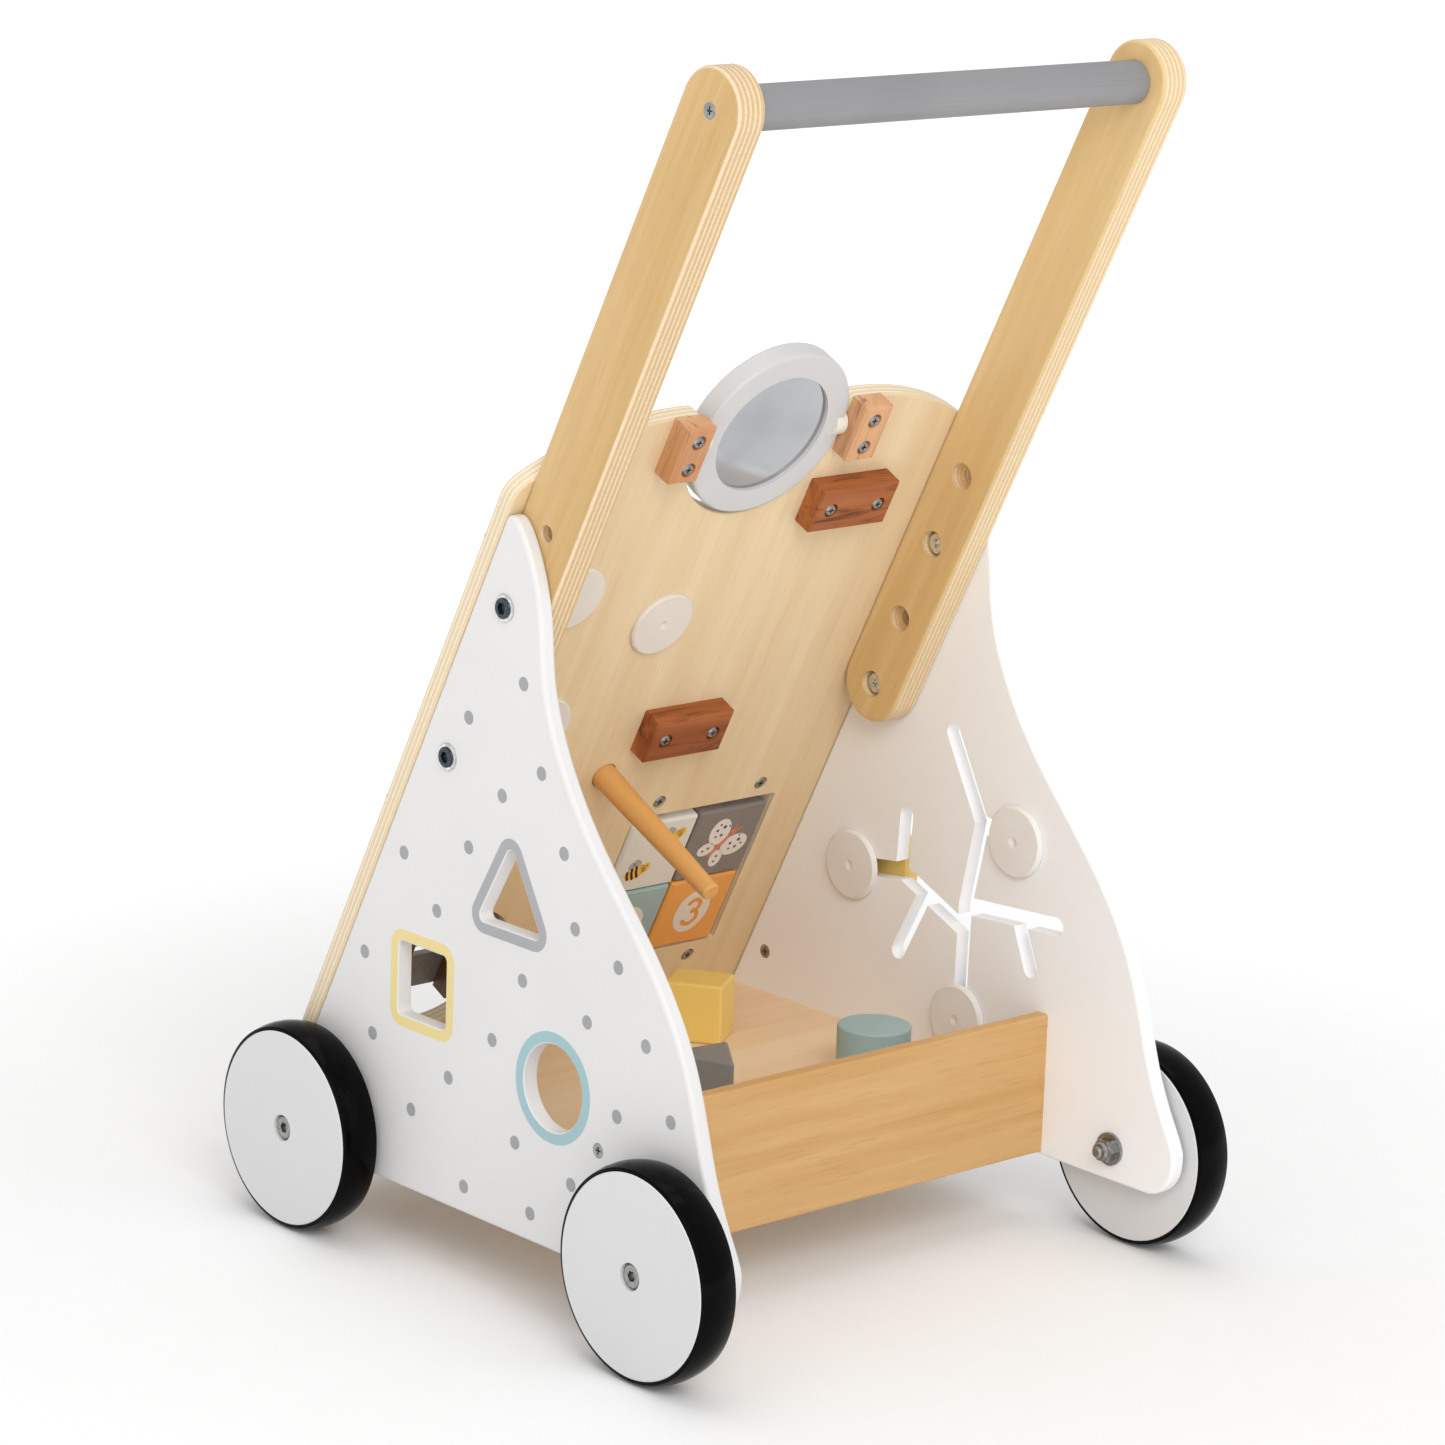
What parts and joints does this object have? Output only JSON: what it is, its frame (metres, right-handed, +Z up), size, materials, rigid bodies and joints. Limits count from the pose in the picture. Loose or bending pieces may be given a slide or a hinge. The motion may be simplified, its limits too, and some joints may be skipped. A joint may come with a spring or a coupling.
{
  "type": "baby walker",
  "caption": "Wooden push-along baby walker with a leaning activity board, mirror, gears, bead wire, flip blocks, xylophone, shape sorter, sliding maze and toy bin.",
  "frame": {"origin": "on the floor, midway between the axles and between the side panels", "axes": "+X to the walker's own left (the shape sorter side), +Y towards the child, +Z up"},
  "size_m": [0.3304, 0.353, 0.5748],
  "materials": {
    "white_paint": "satin",
    "birch_ply": "satin",
    "pale_wood": "satin",
    "birch_dowel": "matte",
    "grey_bar": "matte",
    "bright_steel": "satin",
    "dark_steel": "satin",
    "wire_steel": "gloss",
    "wheel_white": "satin",
    "black_tyre": "matte",
    "mirror_acrylic": "polished",
    "cream_plastic": "satin",
    "white_plastic": "satin",
    "redwood": "satin",
    "grey_paint": "satin",
    "white_block": "satin",
    "taupe_block": "satin",
    "teal_paint": "satin",
    "orange_paint": "satin",
    "golden_paint": "satin",
    "grey_block": "satin",
    "bar_metal": "satin"
  },
  "bodies": {
    "frame": {"left_side_panel": "white_paint", "right_side_panel": "white_paint", "activity_board": "birch_ply", "left_handle_arm": "birch_ply", "right_handle_arm": "birch_ply", "bin_floor": "pale_wood", "rear_rail": "pale_wood", "floor_dowels": "birch_dowel", "handle_bar": "grey_bar", "arm_washers": "bright_steel", "arm_bolts": "bright_steel", "axle_bolts": "bright_steel", "axle_nuts": "bright_steel", "axle_washers": "bright_steel", "wood_screws": "bright_steel", "back_screws": "bright_steel", "block_rods": "bright_steel", "xylophone_pins": "bright_steel", "arm_sleeve_nuts": "dark_steel", "bead_wire": "wire_steel", "gear_axles": "white_plastic", "gear_front_caps": "white_plastic", "mirror_block_left": "redwood", "mirror_block_right": "redwood", "wire_block_upper": "redwood", "wire_block_lower": "redwood", "xylophone_rails": "redwood", "block_bezel": "grey_paint", "xylophone_bars": "bar_metal"},
    "front_left_wheel": {"front_left_wheel_disc": "wheel_white", "front_left_tyre": "black_tyre"},
    "front_right_wheel": {"front_right_wheel_disc": "wheel_white", "front_right_tyre": "black_tyre"},
    "rear_left_wheel": {"rear_left_wheel_disc": "wheel_white", "rear_left_tyre": "black_tyre"},
    "rear_right_wheel": {"rear_right_wheel_disc": "wheel_white", "rear_right_tyre": "black_tyre"},
    "mirror": {"mirror_ring": "white_paint", "mirror_glass": "mirror_acrylic", "mirror_pins": "cream_plastic"},
    "flip_block_top_left": {"flip_block_top_left": "white_block"},
    "flip_block_top_right": {"flip_block_top_right": "taupe_block"},
    "flip_block_bottom_left": {"flip_block_bottom_left": "teal_paint"},
    "flip_block_bottom_right": {"flip_block_bottom_right": "orange_paint"},
    "gear_middle": {"gear_middle": "grey_paint"},
    "gear_upper": {"gear_upper": "teal_paint"},
    "gear_lower": {"gear_lower": "golden_paint"},
    "slider_west": {"slider_disc_west": "white_plastic", "slider_knob_west": "golden_paint"},
    "slider_north": {"slider_disc_north": "white_plastic", "slider_knob_north": "grey_paint"},
    "slider_south": {"slider_disc_south": "white_plastic", "slider_knob_south": "teal_paint"},
    "mallet": {"mallet": "golden_paint"},
    "bead_lower": {"bead_lower": "orange_paint"},
    "bead_middle": {"bead_middle": "teal_paint"},
    "bead_upper": {"bead_upper": "golden_paint"},
    "square_block": {"square_block": "golden_paint"},
    "triangle_block": {"triangle_block": "grey_block"},
    "round_block": {"round_block": "teal_paint"}
  },
  "joints": [
    {"name": "front_left_wheel_spin", "type": "hinge", "parent": "frame", "child": "front_left_wheel", "pos_m": [0.1552, -0.1265, 0.05], "axis": [1, 0, 0], "continuous": true},
    {"name": "front_right_wheel_spin", "type": "hinge", "parent": "frame", "child": "front_right_wheel", "pos_m": [-0.1552, -0.1265, 0.05], "axis": [1, 0, 0], "continuous": true},
    {"name": "rear_left_wheel_spin", "type": "hinge", "parent": "frame", "child": "rear_left_wheel", "pos_m": [0.1552, 0.1265, 0.05], "axis": [1, 0, 0], "continuous": true},
    {"name": "rear_right_wheel_spin", "type": "hinge", "parent": "frame", "child": "rear_right_wheel", "pos_m": [-0.1552, 0.1265, 0.05], "axis": [1, 0, 0], "continuous": true},
    {"name": "mirror_spin", "type": "hinge", "parent": "frame", "child": "mirror", "pos_m": [0, 0.01383, 0.39168], "axis": [1, 0, 0], "continuous": true},
    {"name": "top_left_flip", "type": "hinge", "parent": "frame", "child": "flip_block_top_left", "pos_m": [-0.0397, -0.10746, 0.16074], "axis": [0, 0.4472, 0.8944], "continuous": true},
    {"name": "top_right_flip", "type": "hinge", "parent": "frame", "child": "flip_block_top_right", "pos_m": [-0.0843, -0.10746, 0.16074], "axis": [0, 0.4472, 0.8944], "continuous": true},
    {"name": "bottom_left_flip", "type": "hinge", "parent": "frame", "child": "flip_block_bottom_left", "pos_m": [-0.0397, -0.12754, 0.12058], "axis": [0, 0.4472, 0.8944], "continuous": true},
    {"name": "bottom_right_flip", "type": "hinge", "parent": "frame", "child": "flip_block_bottom_right", "pos_m": [-0.0843, -0.12754, 0.12058], "axis": [0, 0.4472, 0.8944], "continuous": true},
    {"name": "gear_middle_spin", "type": "hinge", "parent": "frame", "child": "gear_middle", "pos_m": [0.02, -0.04592, 0.30125], "axis": [0, -0.8944, 0.4472], "continuous": true},
    {"name": "gear_upper_spin", "type": "hinge", "parent": "frame", "child": "gear_upper", "pos_m": [0.0831, -0.0352, 0.32269], "axis": [0, -0.8944, 0.4472], "continuous": true},
    {"name": "gear_lower_spin", "type": "hinge", "parent": "frame", "child": "gear_lower", "pos_m": [0.07238, -0.06993, 0.25324], "axis": [0, -0.8944, 0.4472], "continuous": true},
    {"name": "slider_west_travel", "type": "slide", "parent": "frame", "child": "slider_west", "axis": [0, 0.9928, 0.1202], "range_m": [0, 0.034]},
    {"name": "slider_north_travel", "type": "slide", "parent": "frame", "child": "slider_north", "axis": [0, -0.9899, 0.142], "range_m": [0, 0.024]},
    {"name": "slider_south_travel", "type": "slide", "parent": "frame", "child": "slider_south", "axis": [0, 0.0173, 0.9999], "range_m": [0, 0.044]},
    {"name": "mallet_pull", "type": "slide", "parent": "frame", "child": "mallet", "axis": [0, -0.8944, 0.4472], "range_m": [0, 0.1]},
    {"name": "bead_lower_travel", "type": "slide", "parent": "frame", "child": "bead_lower", "axis": [-0.3388, 0.4208, 0.8415], "range_m": [0, 0.02]},
    {"name": "bead_middle_travel", "type": "slide", "parent": "frame", "child": "bead_middle", "axis": [-0.3388, 0.4208, 0.8415], "range_m": [0, 0.02]},
    {"name": "bead_upper_travel", "type": "slide", "parent": "frame", "child": "bead_upper", "axis": [-0.3388, 0.4208, 0.8415], "range_m": [0, 0.02]},
    {"name": "square_block_lift", "type": "slide", "parent": "frame", "child": "square_block", "axis": [0, 0, 1], "range_m": [0, 0.04]},
    {"name": "triangle_block_lift", "type": "slide", "parent": "frame", "child": "triangle_block", "axis": [0, 0, 1], "range_m": [0, 0.04]},
    {"name": "round_block_lift", "type": "slide", "parent": "frame", "child": "round_block", "axis": [0, 0, 1], "range_m": [0, 0.04]}
  ],
  "couplings": [
    {"joint": "gear_upper_spin", "follows": "gear_middle_spin", "ratio": -1.25},
    {"joint": "gear_lower_spin", "follows": "gear_middle_spin", "ratio": -1}
  ]
}
